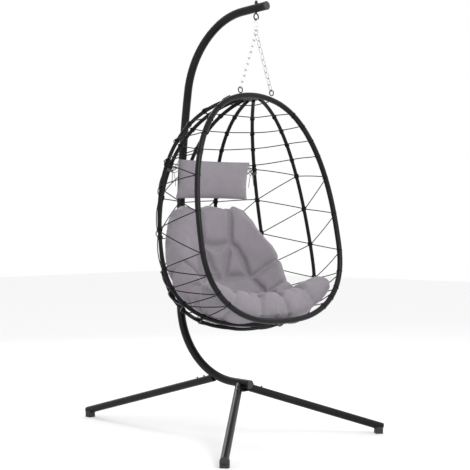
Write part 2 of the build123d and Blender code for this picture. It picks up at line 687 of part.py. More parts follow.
def nest(skin):
    """The nest cushion's shape, taken in by a skin's thickness on every side."""
    gap, rim_gap = CUSHION_GAP + skin, CUSHION_RIM_GAP + skin
    side, shoulder, top = CUSHION_SIDE - skin, CUSHION_SHOULDER - skin, CUSHION_TOP_Z - skin
    with BuildPart() as body:
        for s in CUSHION_LEVELS:
            with BuildSketch(level_plane(s + (CUSHION_LIFT + skin) / HOOP_HEIGHT)):
                Ellipse(
                    RIB_WIDTH_RATIO * egg_reach(s, HOOP_HALF_WIDTH, HOOP_SHAPE) - gap,
                    egg_reach(s, RIB_DEPTH, RIB_SHAPE) - gap,
                )
        loft(ruled=True)
        for depth, wider in ((4 + skin, 0), (600 + skin, 95)):
            with BuildSketch(hoop_plane.offset(-depth)):
                sides = [
                    (
                        egg_reach(s, HOOP_HALF_WIDTH, HOOP_SHAPE) - rim_gap + wider,
                        s * HOOP_HEIGHT * hypot(1, HOOP_LEAN) - wider + rim_gap / 2,
                    )
                    for s in RIM_LEVELS
                ]
                with BuildLine():
                    Polyline(*sides, *[(-x, y) for x, y in sides[::-1]], close=True)
                make_face()
        loft(mode=Mode.INTERSECT)
        with BuildSketch(Plane(origin=in_hall((0, -600, 0)), x_dir=lateral, z_dir=fore)):
            with BuildLine():
                edge = [
                    (520, 400),
                    (520, CUSHION_SIDE_Z - skin),
                    (side, CUSHION_SIDE_Z + 8 - skin),
                    (side, 860),
                    (shoulder + 85, top - 82),
                    (shoulder, top - 20),
                    (shoulder - 95, top),
                ]
                Polyline(*edge, *[(-x, z) for x, z in edge[::-1]], close=True)
            make_face()
        extrude(amount=-1400, mode=Mode.INTERSECT)
        seat_front = behind_hoop(0, SEAT_FRONT[0] - skin, SEAT_FRONT[1])
        seat_way = behind_hoop(0, SEAT_BACK[0] - skin, SEAT_BACK[1] + skin) - seat_front
        seat_up = lateral.cross(seat_way).normalized()
        with BuildSketch(Plane(origin=seat_front, x_dir=lateral, z_dir=seat_up)):
            Ellipse(385 + skin, seat_way.length)
        for z, half_width, depth in CUSHION_HOLLOW:
            with BuildSketch(Plane(origin=behind_hoop(0, z, 0), x_dir=lateral, z_dir=(0, 0, 1))):
                Ellipse(half_width + skin, depth + skin)
        loft(mode=Mode.SUBTRACT)
    return body.part


# The nest is a quilted cover round loose filling, which is left empty.
with BuildPart() as seat_cushion:
    add(nest(0))
    add(nest(CUSHION_SKIN), mode=Mode.SUBTRACT)

pillow_plane = Plane(origin=behind_hoop(0, PILLOW_Z, PILLOW_DEPTH), x_dir=lateral, z_dir=(0, 0, 1))
with BuildPart() as head_pillow:
    with BuildSketch(pillow_plane.rotated((PILLOW_LEAN, 0, 0)).offset(-PILLOW_SIZE[2] / 2)):
        RectangleRounded(PILLOW_SIZE[0], PILLOW_SIZE[1], PILLOW_SIZE[1] * 0.45)
    extrude(amount=PILLOW_SIZE[2])
    fillet(head_pillow.edges().filter_by(GeomType.LINE, reverse=True), 8)

# A loop of cord from each end of the pillow goes round a rib.
ties = {}
for side_name, angle, side in (("left", RIB_ANGLES[-2], -1), ("right", RIB_ANGLES[1], 1)):
    rib_at = in_hall(egg_point(angle, TIE_AT))
    along = (in_hall(egg_point(angle, TIE_AT + 0.002)) - rib_at).normalized()
    corner = behind_hoop(side * (PILLOW_SIZE[0] / 2 - 3), PILLOW_Z + 45, PILLOW_DEPTH + 6)
    toward = corner - rib_at
    toward = (toward - along * toward.dot(along)).normalized()
    ring_r = RIB_R + TIE_R + 0.4
    with BuildPart() as tie:
        with BuildSketch(Plane(origin=rib_at + toward * ring_r, z_dir=along.cross(toward))):
            Circle(TIE_R)
        revolve(axis=Axis(rib_at, along))
        knot = rib_at + toward * ring_r
        add(round_bar(knot, (corner - knot).normalized(), (corner - knot).length, TIE_R))
        add(head_pillow.part, mode=Mode.SUBTRACT)
    ties[side_name] = tie.part.solids().sort_by(SortBy.VOLUME)[-1]

# ---------------------------------------------------------------- hand over
save(post_lower.part - joint_holes.part, "post_lower")
save(post_upper.part - joint_holes.part - bush_hole.part, "post_upper")
save(post_sleeve.part, "post_sleeve")
save(post_bolts.part, "post_bolts")
save(post_top_cap.part, "post_top_cap")
save(post_lower_cap.part, "post_lower_cap")
for place, leg_name in (("left", "front_leg_left"), ("right", "front_leg_right"), ("rear", "rear_leg")):
    save(legs[place], leg_name)
    save(stubs[place], f"leg_stub_{place}")
    save(pads[place], f"foot_pad_{place}")
    save(plugs[place], f"leg_plug_{place}")
    save(screw_sets[place], f"leg_screws_{place}")
save(leg_lug.part, "leg_lug")
save(hook_bush.part, "hook_bush")
save(eye_bolt.part, "eye_bolt")
save(eye_bolt_nut.part, "eye_bolt_nut")
save(snap_hook.part, "snap_hook")
save(snap_gate.part, "snap_gate")
save(snap_gate_pin.part, "snap_gate_pin")
save(chain_ring.part, "chain_ring")
save(front_hoop.part, "front_hoop")
for plate_name, piece in gather_plates.items():
    save(piece, f"rib_gather_{plate_name}")
for side_name in ("left", "right"):
    save(chains[side_name], f"chain_{side_name}")
    save(eyelets[side_name], f"eyelet_{side_name}")
    save(ties[side_name], f"pillow_tie_{side_name}")
for number, piece in enumerate(ribs, 1):
    save(piece, f"rib_{number}")
for number, piece in enumerate(course_parts, 1):
    save(piece, f"strand_course_{number}")
for number, piece in enumerate(panel_parts, 1):
    save(piece, f"strand_panel_{number}")
save(seat_cushion.part, "seat_cushion")
save(head_pillow.part, "head_pillow")
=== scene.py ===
"""Hanging egg chair: finishes, cushions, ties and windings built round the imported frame.

Units are metres.  +Z is up and the sitter faces -Y.  The basket's own shapes are given from its
hook line, and behind its front hoop, as in the CAD source.
"""
import math
import random

import bmesh
import bpy
from mathutils import Matrix, Vector
from mathutils.bvhtree import BVHTree
from mathutils.kdtree import KDTree


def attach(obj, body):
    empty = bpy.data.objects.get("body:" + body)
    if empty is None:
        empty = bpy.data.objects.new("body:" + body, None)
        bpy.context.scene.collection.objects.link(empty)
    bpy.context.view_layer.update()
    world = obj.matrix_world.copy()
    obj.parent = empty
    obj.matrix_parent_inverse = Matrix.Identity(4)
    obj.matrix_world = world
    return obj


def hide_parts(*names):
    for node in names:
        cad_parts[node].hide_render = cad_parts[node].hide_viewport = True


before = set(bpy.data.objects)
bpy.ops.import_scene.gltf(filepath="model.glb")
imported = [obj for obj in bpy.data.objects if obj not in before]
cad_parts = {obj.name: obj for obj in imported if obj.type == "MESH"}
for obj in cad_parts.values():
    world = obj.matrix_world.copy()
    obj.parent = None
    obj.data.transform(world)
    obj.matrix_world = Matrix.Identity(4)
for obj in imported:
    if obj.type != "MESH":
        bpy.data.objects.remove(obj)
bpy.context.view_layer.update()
random.seed(7)

# ---------------------------------------------------------------- driving dimensions
# The same as in the CAD source.  COURSES and NET give each round of strand one row: the heights, as
# fractions of the hoop's, at which it passes the hoop's right side, the six ribs and its left side.
HANG_Y = -0.405
BASKET_TURN = math.radians(-5.0)
HOOP_R = 0.0125
HOOP_BOTTOM_Z = 0.5554
HOOP_HEIGHT = 1.0102
HOOP_BOTTOM_Y = -0.175
HOOP_LEAN = 0.1863
HOOP_HALF_WIDTH = 0.436
HOOP_SHAPE = (0.347, 2.41, 2.35)
RIB_R = 0.0085
RIB_DEPTH = 0.498
RIB_SHAPE = (0.415, 2.65, 2.28)
RIB_WIDTH_RATIO = 1.21
RIB_DROP = 0.314
RIB_COUNT = 6
CORE = 0.42
COURSES = (
    (0.983, 0.987, 0.988, 0.99, 0.99, 0.988, 0.985, 0.98),
    (0.924, 0.951, 0.961, 0.97, 0.97, 0.961, 0.95, 0.93),
    (0.872, 0.899, 0.915, 0.925, 0.925, 0.915, 0.9, 0.876),
    (0.808, 0.845, 0.859, 0.868, 0.868, 0.858, 0.835, 0.811),
    (0.738, 0.781, 0.795, 0.803, 0.803, 0.79, 0.755, 0.739),
)
NET = (
    (0.64, 0.71, 0.78, 0.788, 0.788, 0.775, 0.74, 0.724),
    (0.472, 0.559, 0.648, 0.665, 0.66, 0.65, 0.642, 0.631),
    (0.304, 0.393, 0.495, 0.51, 0.5, 0.48, 0.464, 0.48),
    (0.206, 0.233, 0.34, 0.36, 0.35, 0.32, 0.297, 0.306),
    (0.135, 0.16, 0.22, 0.25, 0.24, 0.22, 0.212, 0.213),
    (0.087, 0.1, 0.14, 0.16, 0.155, 0.145, 0.139, 0.136),
    (0.05, 0.055, 0.08, 0.09, 0.085, 0.08, 0.073, 0.087),
)
PILLOW_SIZE = Vector((0.45, 0.076, 0.176))
PILLOW_Z = 1.19
PILLOW_DEPTH = 0.338
PILLOW_LEAN = math.radians(6.0)
TIE_AT = 0.765

SLOPE = math.hypot(1, RIB_DROP)
BACKWARD = Vector((0, 1 / SLOPE, -RIB_DROP / SLOPE))
TURNED = Matrix.Rotation(BASKET_TURN, 3, "Z")
RIB_ANGLES = [90 - 180 * (k + 1) / (RIB_COUNT + 1) for k in range(RIB_COUNT)]
MEMBERS = [90.0, *RIB_ANGLES, -90.0]


def in_hall(point):
    """A point given from the hook line, in the model's own frame."""
    return TURNED @ Vector(point) + Vector((0, HANG_Y, 0))


def behind_hoop(x, depth, z):
    """A point at a height, and this far behind the hoop's plane."""
    return in_hall((x, HOOP_BOTTOM_Y + HOOP_LEAN * (z - HOOP_BOTTOM_Z) + depth, z))


def egg_reach(s, reach, shape):
    """Half-width of an egg outline at fraction s of its height."""
    widest, low_power, high_power = shape
    if s < widest:
        return reach * (1 - (1 - s / widest) ** low_power) ** (1 / low_power)
    return reach * (1 - ((s - widest) / (1 - widest)) ** high_power) ** (1 / high_power)


def chord(s):
    """A point on the straight line from the hoop's lowest point to its highest."""
    rise = HOOP_HEIGHT * s
    return Vector((0, HOOP_BOTTOM_Y + HOOP_LEAN * rise, HOOP_BOTTOM_Z + rise))


def egg_point(angle, s, inset=0.0):
    """A point of the basket: angle from straight back, 90 and -90 being the hoop's two sides."""
    half = egg_reach(s, HOOP_HALF_WIDTH, HOOP_SHAPE)
    if abs(angle) == 90:
        return in_hall(chord(s) + Vector((half * angle / 90, 0, 0)))
    turn = math.radians(angle)
    side = (RIB_WIDTH_RATIO * half - inset) * math.sin(turn)
    back = (egg_reach(s, RIB_DEPTH, RIB_SHAPE) - inset) * math.cos(turn)
    return in_hall(chord(s) + Vector((side, 0, 0)) + BACKWARD * back)


BASKET_CORE = in_hall(chord(CORE))


# ---------------------------------------------------------------- materials
def new_material(name, colour, roughness, **sockets):
    """A Principled material and the helpers that its own function goes on with."""
    material = bpy.data.materials.new(name)
    material.use_nodes = True
    tree = material.node_tree
    shader = tree.nodes["Principled BSDF"]
    shader.inputs["Base Color"].default_value = (*colour, 1)
    shader.inputs["Roughness"].default_value = roughness
    for socket, value in sockets.items():
        shader.inputs[socket.replace("_", " ")].default_value = value
    return material, tree, shader


def object_coordinates(tree):
    return tree.nodes.new("ShaderNodeTexCoord").outputs["Object"]


def noise(tree, vector, scale, detail=4.0, rough=0.6):
    node = tree.nodes.new("ShaderNodeTexNoise")
    node.inputs["Scale"].default_value = scale
    node.inputs["Detail"].default_value = detail
    node.inputs["Roughness"].default_value = rough
    tree.links.new(vector, node.inputs["Vector"])
    return node.outputs["Fac"]


def bands(tree, vector, scale, direction, distortion=0.0):
    node = tree.nodes.new("ShaderNodeTexWave")
    node.bands_direction = direction
    node.inputs["Scale"].default_value = scale
    node.inputs["Distortion"].default_value = distortion
    node.inputs["Detail"].default_value = 1.0
    tree.links.new(vector, node.inputs["Vector"])
    return node.outputs["Fac"]


def ramp(tree, value, stops):
    """Colours along a value: stops are (position, colour)."""
    node = tree.nodes.new("ShaderNodeValToRGB")
    while len(node.color_ramp.elements) < len(stops):
        node.color_ramp.elements.new(0.5)
    for element, (position, colour) in zip(node.color_ramp.elements, stops):
        element.position = position
        element.color = (*colour, 1)
    tree.links.new(value, node.inputs["Fac"])
    return node.outputs["Color"]


def spread_to(tree, value, low, high):
    """A value from 0 to 1, taken to another range."""
    node = tree.nodes.new("ShaderNodeMapRange")
    node.inputs["To Min"].default_value = low
    node.inputs["To Max"].default_value = high
    tree.links.new(value, node.inputs["Value"])
    return node.outputs["Result"]


def math_node(tree, operation, first, second):
    node = tree.nodes.new("ShaderNodeMath")
    node.operation = operation
    for value, socket in zip((first, second), node.inputs):
        if isinstance(value, (int, float)):
            socket.default_value = value
        else:
            tree.links.new(value, socket)
    return node.outputs["Value"]


def bump(tree, shader, height, strength, distance):
    node = tree.nodes.new("ShaderNodeBump")
    node.inputs["Strength"].default_value = strength
    node.inputs["Distance"].default_value = distance
    tree.links.new(height, node.inputs["Height"])
    tree.links.new(node.outputs["Normal"], shader.inputs["Normal"])


def powder_coat(name, colour, roughness, lift):
    """Satin powder coat: fine orange peel, faint dust and slightly paler worn places."""
    material, tree, shader = new_material(name, colour, roughness, Specular_IOR_Level=0.2)
    where = object_coordinates(tree)
    cloudy = noise(tree, where, 9.0)
    peel = noise(tree, where, 900.0, 2.0)
    pale = tuple(c * lift + 0.004 for c in colour)
    tint = ramp(tree, cloudy, ((0.35, colour), (0.75, pale)))
    tree.links.new(tint, shader.inputs["Base Color"])
    gloss = spread_to(tree, cloudy, roughness - 0.06, roughness + 0.08)
    tree.links.new(gloss, shader.inputs["Roughness"])
    bump(tree, shader, peel, 0.25, 0.0004)
    return material


def woven_strand():
    """Extruded plastic rattan: black, with fine lengthwise ridges and rubbed high spots."""
    material, tree, shader = new_material(
        "strand_rattan", (0.006, 0.005, 0.007), 0.5, Specular_IOR_Level=0.12
    )
    where = object_coordinates(tree)
    ridges = bands(tree, where, 420.0, "Z", 2.0)
    grain = noise(tree, where, 160.0)
    tint = ramp(tree, grain, ((0.3, (0.003, 0.003, 0.004)), (0.8, (0.012, 0.011, 0.013))))
    tree.links.new(tint, shader.inputs["Base Color"])
    tree.links.new(spread_to(tree, grain, 0.34, 0.55), shader.inputs["Roughness"])
    bump(tree, shader, math_node(tree, "ADD", ridges, grain), 0.4, 0.0005)
    return material


def wound_rib():
    """The ribs' winding: close turns across the rib, uneven and matt."""
    material, tree, shader = new_material(
        "rib_winding", (0.004, 0.004, 0.004), 0.55, Specular_IOR_Level=0.15
    )
    where = object_coordinates(tree)
    turns = bands(tree, where, 60.0, "Z", 1.5)
    uneven = noise(tree, where, 45.0)
    tint = ramp(tree, uneven, ((0.3, (0.003, 0.003, 0.003)), (0.8, (0.009, 0.009, 0.01))))
    tree.links.new(tint, shader.inputs["Base Color"])
    tree.links.new(spread_to(tree, uneven, 0.4, 0.62), shader.inputs["Roughness"])
    bump(tree, shader, math_node(tree, "ADD", turns, uneven), 0.6, 0.0012)
    return material


def zinc():
    """Bright zinc plate, a little cloudy."""
    material, tree, shader = new_material("zinc_plate", (0.62, 0.63, 0.65), 0.28, Metallic=1.0)
    where = object_coordinates(tree)
    cloudy = noise(tree, where, 70.0)
    tint = ramp(tree, cloudy, ((0.3, (0.5, 0.51, 0.54)), (0.75, (0.74, 0.75, 0.76))))
    tree.links.new(tint, shader.inputs["Base Color"])
    tree.links.new(spread_to(tree, cloudy, 0.2, 0.4), shader.inputs["Roughness"])
    bump(tree, shader, noise(tree, where, 600.0), 0.15, 0.0003)
    return material


def moulded(name, colour, roughness, grain_scale):
    """Moulded rubber or plastic with a fine spark-eroded grain."""
    material, tree, shader = new_material(name, colour, roughness)
    where = object_coordinates(tree)
    grain = noise(tree, where, grain_scale, 3.0)
    pale = tuple(c * 1.8 + 0.006 for c in colour)
    tree.links.new(ramp(tree, grain, ((0.35, colour), (0.8, pale))), shader.inputs["Base Color"])
    tree.links.new(spread_to(tree, grain, roughness - 0.1, roughness + 0.1), shader.inputs["Roughness"])
    bump(tree, shader, grain, 0.35, 0.0006)
    return material


def upholstery(name, colour):
    """Matt woven polyester: crossing threads, soft mottling and a light sheen."""
    material, tree, shader = new_material(name, colour, 0.88, Sheen_Weight=0.25, Sheen_Roughness=0.5)
    where = object_coordinates(tree)
    weave = math_node(
        tree,
        "MULTIPLY",
        math_node(tree, "ADD", bands(tree, where, 260.0, "X"), bands(tree, where, 260.0, "Y")),
        bands(tree, where, 260.0, "Z"),
    )
    mottle = noise(tree, where, 14.0, 5.0)
    slub = noise(tree, where, 240.0, 2.0)
    dark = tuple(c * 0.86 for c in colour)
    pale = tuple(min(c * 1.1, 1) for c in colour)
    mixed = math_node(
        tree,
        "ADD",
        math_node(tree, "MULTIPLY", mottle, 0.6),
        math_node(tree, "MULTIPLY", slub, 0.4),
    )
    tree.links.new(ramp(tree, mixed, ((0.3, dark), (0.72, pale))), shader.inputs["Base Color"])
    tree.links.new(spread_to(tree, slub, 0.8, 0.95), shader.inputs["Roughness"])
    height = math_node(tree, "ADD", weave, slub)
    bump(tree, shader, height, 0.35, 0.0005)
    return material


BLACK_FRAME = powder_coat("frame_powder_coat", (0.003, 0.003, 0.0035), 0.34, 1.6)
BLACK_SCREWS = powder_coat("fastener_black", (0.014, 0.014, 0.015), 0.3, 1.6)
BLACK_CAPS = moulded("cap_plastic", (0.012, 0.012, 0.013), 0.45, 420.0)
PAD_RUBBER = moulded("pad_rubber", (0.016, 0.016, 0.016), 0.7, 260.0)
BUSH_PLASTIC = moulded("bush_plastic", (0.02, 0.02, 0.021), 0.4, 500.0)
STRAND = woven_strand()
RIB_WINDING = wound_rib()
ZINC = zinc()
FABRIC = upholstery("cushion_fabric", (0.228, 0.205, 0.232))
CORD = moulded("tie_cord", (0.075, 0.07, 0.078), 0.8, 700.0)

FINISHES = {
    "post_lower": BLACK_FRAME, "post_upper": BLACK_FRAME, "post_sleeve": BLACK_FRAME,
    "post_bolts": BLACK_SCREWS, "post_top_cap": BLACK_CAPS, "post_lower_cap": BLACK_CAPS,
    "leg_lug": BLACK_FRAME, "front_leg": BLACK_FRAME, "rear_leg": BLACK_FRAME, "leg_stub": BLACK_FRAME,
    "foot_pad": PAD_RUBBER, "leg_plug": BLACK_CAPS, "leg_screws": BLACK_SCREWS,
    "hook_bush": BUSH_PLASTIC, "eye_bolt": BLACK_SCREWS, "eye_bolt_nut": BLACK_SCREWS,
    "snap": ZINC, "chain": ZINC, "front_hoop": BLACK_FRAME, "eyelet": BLACK_FRAME,
    "rib_gather": BLACK_FRAME, "rib": RIB_WINDING, "strand": STRAND,
}
for node_name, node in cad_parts.items():
    matches = [key for key in FINISHES if node_name.startswith(key)]
    if matches:
        finish = FINISHES[max(matches, key=len)]
        for material_slot in node.material_slots:
            material_slot.material = finish


# ---------------------------------------------------------------- mesh helpers
def add_piece(name, mesh, material, body):
    piece = bpy.data.objects.new(name, mesh)
    bpy.context.scene.collection.objects.link(piece)
    mesh.materials.clear()
    mesh.materials.append(material)
    mesh.polygons.foreach_set("use_smooth", [True] * len(mesh.polygons))
    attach(piece, body)
    return piece


def tube_mesh(name, routes, sides=8):
    """One mesh of round tubes: each route is a list of points and a radius, or a radius per point."""
    work = bmesh.new()
    for points, radius in routes:
        radii = radius if isinstance(radius, list) else [radius] * len(points)
        normal = None
        rings = []
        for i, point in enumerate(points):
            way = (points[min(i + 1, len(points) - 1)] - points[max(i - 1, 0)]).normalized()
            if normal is None:
                normal = way.orthogonal().normalized()
            normal = (normal - way * normal.dot(way)).normalized()
            other = way.cross(normal)
            ring = []
            for k in range(sides):
                turn = 2 * math.pi * k / sides
                across = normal * math.cos(turn) + other * math.sin(turn)
                ring.append(work.verts.new(point + across * radii[i]))
            rings.append(ring)
        for one, two in zip(rings, rings[1:]):
            for k in range(sides):
                j = (k + 1) % sides
                work.faces.new((one[k], one[j], two[j], two[k]))
        work.faces.new(rings[0][::-1])
        work.faces.new(rings[-1])
    mesh = bpy.data.meshes.new(name)
    work.to_mesh(mesh)
    work.free()
    return mesh


def smooth_route(points, steps=8):
    """Points along a Catmull-Rom curve through given points."""
    ends = [points[0] * 2 - points[1], *points, points[-1] * 2 - points[-2]]
    route = []
    for a, b, c, d in zip(ends, ends[1:], ends[2:], ends[3:]):
        for k in range(steps):
            t = k / steps
            route.append(
                (b * 2 + (c - a) * t + (a * 2 - b * 5 + c * 4 - d) * t * t
                 + (b * 3 - a - c * 3 + d) * t**3) * 0.5
            )
    return [*route, points[-1]]


# ---------------------------------------------------------------- windings where strands cross
WIND_R = 0.0018
WIND_PITCH = 0.0034
HOOP_TURNS = 1.6            # the hoop's windings are shorter and thinner than the ribs'
HOOP_THINNER = 0.7
COURSE_TURNS = 3.2
NET_TURNS = 5.2
SECOND_TURNS = 2.6          # a thicker layer over the net's crossings
SECOND_THICKER = 1.5


def winding(member, s, turns, thickness):
    """A few uneven turns of strand round a rib or the hoop."""
    angle = MEMBERS[member]
    step = 0.002
    centre = egg_point(angle, s)
    along = (egg_point(angle, s + step) - egg_point(angle, s - step)).normalized()
    out = centre - BASKET_CORE
    out = (out - along * out.dot(along)).normalized()
    side = along.cross(out)
    radius = (HOOP_R if abs(angle) == 90 else RIB_R) + thickness * 0.6
    steps = int(turns * 12)
    start = random.uniform(0, 2 * math.pi)
    slant = random.uniform(-0.35, 0.35)
    points = []
    for k in range(steps + 1):
        t = k / steps
        turn = start + 2 * math.pi * turns * t
        lift = (t - 0.5) * turns * WIND_PITCH + radius * slant * math.sin(turn)
        swell = radius + thickness * 0.25 * math.sin(5 * turn + start)
        points.append(centre + along * lift + out * swell * math.cos(turn) + side * swell * math.sin(turn))
    return points, thickness


for member, member_angle in enumerate(MEMBERS):
    at_hoop = abs(member_angle) == 90
    thickness = WIND_R * HOOP_THINNER if at_hoop else WIND_R
    routes = []
    for heights in COURSES[1:]:
        turns = HOOP_TURNS if at_hoop else COURSE_TURNS
        routes.append(winding(member, heights[member], turns, thickness))
    for heights in NET:
        turns = HOOP_TURNS if at_hoop else NET_TURNS
        routes.append(winding(member, heights[member], turns, thickness))
        if not at_hoop:
            routes.append(winding(member, heights[member], SECOND_TURNS, WIND_R * SECOND_THICKER))
    place = {0: "hoop_right", len(MEMBERS) - 1: "hoop_left"}.get(member, f"rib_{member}")
    add_piece(f"windings_{place}", tube_mesh(f"windings_{place}", routes), STRAND, "basket")


# ---------------------------------------------------------------- padded pieces
def remeshed(name, mesh, voxel):
    """A closed mesh of even faces round the same shape."""
    source = bpy.data.objects.new(name, mesh)
    bpy.context.scene.collection.objects.link(source)
    modifier = source.modifiers.new("even", "REMESH")
    modifier.mode = "VOXEL"
    modifier.voxel_size = voxel
    bpy.context.view_layer.update()
    even = bpy.data.meshes.new_from_object(source.evaluated_get(bpy.context.evaluated_depsgraph_get()))
    bpy.data.objects.remove(source)
    return even


def relax(mesh, rounds, amount=0.5):
    work = bmesh.new()
    work.from_mesh(mesh)
    for _ in range(rounds):
        bmesh.ops.smooth_vert(
            work, verts=work.verts, factor=amount, use_axis_x=True, use_axis_y=True, use_axis_z=True
        )
    work.normal_update()
    work.to_mesh(mesh)
    work.free()


def surface_of(mesh):
    points = [v.co.copy() for v in mesh.vertices]
    return BVHTree.FromPolygons(points, [tuple(p.vertices) for p in mesh.polygons])


def seam_samples(surface, seams, spacing):
    """Points close together along each seam, laid on the surface."""
    samples = []
    for seam in seams:
        for one, two in zip(seam, seam[1:]):
            steps = max(int((two - one).length / spacing), 1)
            for k in range(steps + 1):
                samples.append(surface.find_nearest(one.lerp(two, k / steps))[0])
    tree = KDTree(len(samples))
    for i, point in enumerate(samples):
        tree.insert(point, i)
    tree.balance()
    return tree


def sew(mesh, tree, depth, width, shrink):
    """Sinks the surface along the seams, and takes the rest in a little for the filling to push out."""
    normals = [v.normal.copy() for v in mesh.vertices]
    for vertex, normal in zip(mesh.vertices, normals):
        gap = tree.find(vertex.co)[2]
        vertex.co -= normal * (shrink + depth * math.exp(-((gap / width) ** 2)))


def inflate(pieces, frames=20):
    """Fills the covers by cloth simulation; each is (object, seam tree, pin width, pressure, cap)."""
    before = {}
    for piece, tree, pin_width, pressure, _ in pieces:
        before[piece.name] = [v.co.copy() for v in piece.data.vertices]
        group = piece.vertex_groups.new(name="sewn")
        pinned = [v.index for v in piece.data.vertices if tree.find(v.co)[2] < pin_width]
        group.add(pinned, 1.0, "REPLACE")
        cloth = piece.modifiers.new("filling", "CLOTH")
        settings = cloth.settings
        settings.quality = 4
        settings.mass = 0.3
        settings.tension_stiffness = 12
        settings.compression_stiffness = 8
        settings.shear_stiffness = 4
        settings.bending_stiffness = 0.4
        settings.use_pressure = True
        settings.uniform_pressure_force = pressure
        settings.vertex_group_mass = "sewn"
        settings.effector_weights.gravity = 0
        cloth.collision_settings.use_collision = False
        cloth.point_cache.frame_end = frames
    for number in range(1, frames + 1):
        bpy.context.scene.frame_set(number)
    graph = bpy.context.evaluated_depsgraph_get()
    for piece, _, _, _, cap in pieces:
        after = [v.co.copy() for v in piece.evaluated_get(graph).data.vertices]
        for vertex, old, new in zip(piece.data.vertices, before[piece.name], after):
            move = new - old
            vertex.co = old + move * min(1.0, cap / max(move.length, 1e-9))
        piece.modifiers.clear()
        piece.vertex_groups.clear()
    bpy.context.scene.frame_set(1)


def subdivide(piece):
    modifier = piece.modifiers.new("smooth", "SUBSURF")
    modifier.levels = modifier.render_levels = 1
    smooth = bpy.data.meshes.new_from_object(piece.evaluated_get(bpy.context.evaluated_depsgraph_get()))
    piece.modifiers.clear()
    piece.data = smooth


# ---------------------------------------------------------------- nest cushion
# The nest is drawn flat: x across, y back from the hoop's lowest point along the basket's inside.
NEST_GAP = 0.017
NEST_VOXEL = 0.007
SEAM_SPACING = 0.004
NEST_CORE = in_hall(chord(0.4) + Vector((0, 0.13, 0)))
NEST_OUTLINE = (
    (0, 0), (0.2, 0), (0.43, 0.004), (0.478, 0.035), (0.484, 0.085), (0.445, 0.15), (0.41, 0.23),
    (0.432, 0.315), (0.51, 0.41), (0.56, 0.52), (0.568, 0.64), (0.555, 0.75), (0.51, 0.85),
    (0.41, 0.935), (0.25, 0.98), (0.12, 1.015), (0, 1.03),
)
NEST_ACROSS = (
    ((-0.17, 0.755), (0.17, 0.755)),
    ((-0.23, 0.5), (-0.2, 0.53), (-0.1, 0.555), (0, 0.545), (0.1, 0.555), (0.2, 0.53), (0.23, 0.5)),
    ((-0.215, 0.345), (-0.1, 0.355), (0.1, 0.355), (0.215, 0.345)),
    ((-0.2, 0.185), (-0.1, 0.16), (0.1, 0.16), (0.2, 0.185)),
)
NEST_SIDES = (
    ((0.233, 0.93), (0.22, 0.875), (0.17, 0.755), (0.11, 0.685), (0.06, 0.62), (0.03, 0.545)),
    ((0.17, 0.755), (0.225, 0.7), (0.24, 0.625), (0.225, 0.555), (0.23, 0.5)),
    ((0.23, 0.5), (0.37, 0.485), (0.49, 0.44), (0.54, 0.42)),
    ((0.23, 0.5), (0.225, 0.4), (0.21, 0.32), (0.2, 0.185)),
    ((0.21, 0.32), (0.31, 0.315), (0.43, 0.305)),
    ((0.2, 0.185), (0.3, 0.195), (0.41, 0.2)),
    ((0.1, 0.16), (0.1, 0.0)),
    ((0.29, 0.2), (0.29, 0.0)),
)
NEST_SEAMS = [*NEST_ACROSS, *NEST_SIDES, *[tuple((-x, y) for x, y in seam) for seam in NEST_SIDES]]
FAN_STEP = 3                # degrees
FAN_ROWS = 160
FAN_LEVELS = [(1 - math.cos(math.pi * 0.75 * k / FAN_ROWS)) / 2 for k in range(FAN_ROWS + 1)]


def inside_point(angle, s):
    """A point just inside the basket, drawn in to the hoop past the last rib."""
    last = RIB_ANGLES[0]
    turn = math.copysign(min(abs(angle), last), angle)
    on_ribs = egg_point(turn, s, NEST_GAP)
    half = egg_reach(s, HOOP_HALF_WIDTH, HOOP_SHAPE) - NEST_GAP * 0.8
    on_hoop = in_hall(chord(s) + Vector((math.copysign(half, angle), 0, 0)))
    share = max(abs(angle) - last, 0) / (90 - last)
    return on_ribs.lerp(on_hoop, share)


def fan_line(angle):
    """Lengths along the basket's inside, from its lowest point, at each level."""
    lengths, last = [0.0], inside_point(angle, FAN_LEVELS[0])
    for s in FAN_LEVELS[1:]:
        here = inside_point(angle, s)
        lengths.append(lengths[-1] + (here - last).length)
        last = here
    return lengths


FAN = [fan_line(angle) for angle in range(0, 91, FAN_STEP)]


def laid_in(x, y):
    """Where a point of the flat drawing comes to lie inside the basket."""
    reach, angle = math.hypot(x, y), math.degrees(math.atan2(x, max(y, 1e-6)))
    line = min(int(abs(angle) / FAN_STEP), len(FAN) - 2)
    share = abs(angle) / FAN_STEP - line
    lengths = [a + (b - a) * share for a, b in zip(FAN[line], FAN[line + 1])]
    level = 0
    while level < len(lengths) - 2 and lengths[level + 1] < reach:
        level += 1
    part = (reach - lengths[level]) / max(lengths[level + 1] - lengths[level], 1e-9)
    return inside_point(angle, FAN_LEVELS[level] + (FAN_LEVELS[level + 1] - FAN_LEVELS[level]) * min(part, 1))


def near_line(point, line):
    """Distance in the flat drawing from a point to a line of points."""
    best = 1.0
    for one, two in zip(line, line[1:]):
        one, two = Vector(one), Vector(two)
        run = two - one
        t = max(0.0, min(1.0, (point - one).dot(run) / run.length_squared))
        best = min(best, (point - one - run * t).length)
    return best


def nest_thickness(x, y):
    """The seat is thicker than the back, and the front corners are thinner again."""
    corner = max(abs(x) - 0.3, 0) / 0.2 * max(1 - y / 0.3, 0)
    return 0.13 - 0.035 * min(max((y - 0.25) / 0.4, 0), 1) - 0.045 * min(corner, 1)


EDGE_ROUND = 0.075
OUTLINE = [*NEST_OUTLINE, *[(-x, y) for x, y in NEST_OUTLINE[-2:0:-1]], NEST_OUTLINE[0]]


